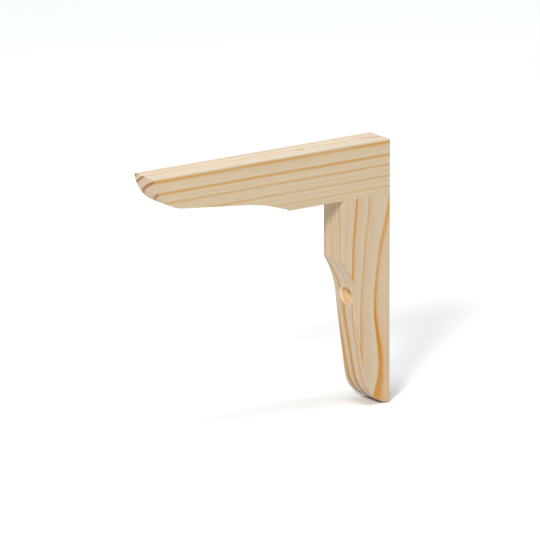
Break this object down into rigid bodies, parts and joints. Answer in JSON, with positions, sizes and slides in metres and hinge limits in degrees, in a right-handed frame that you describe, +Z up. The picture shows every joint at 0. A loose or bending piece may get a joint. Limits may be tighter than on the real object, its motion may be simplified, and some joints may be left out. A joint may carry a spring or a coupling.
{
  "type": "wooden corbel bracket",
  "caption": "Wooden wall bracket for a shelf: a carved arm and leg of pale pine, joined at the wall by a glued bridle joint and drilled for screws.",
  "frame": {"origin": "where the axis of the wall screw meets the wall plane, at the back of the leg", "axes": "+Y into the wall, so the arm reaches out to -Y; +Z up; +X to the right as seen from the room"},
  "size_m": [0.028, 0.235, 0.226],
  "materials": {
    "arm_pine": "bare planed and sanded pine, pale, satin",
    "leg_pine": "bare planed and sanded pine, pale, satin"
  },
  "bodies": {
    "root": {"arm": "arm_pine", "leg": "leg_pine"}
  },
  "joints": []
}
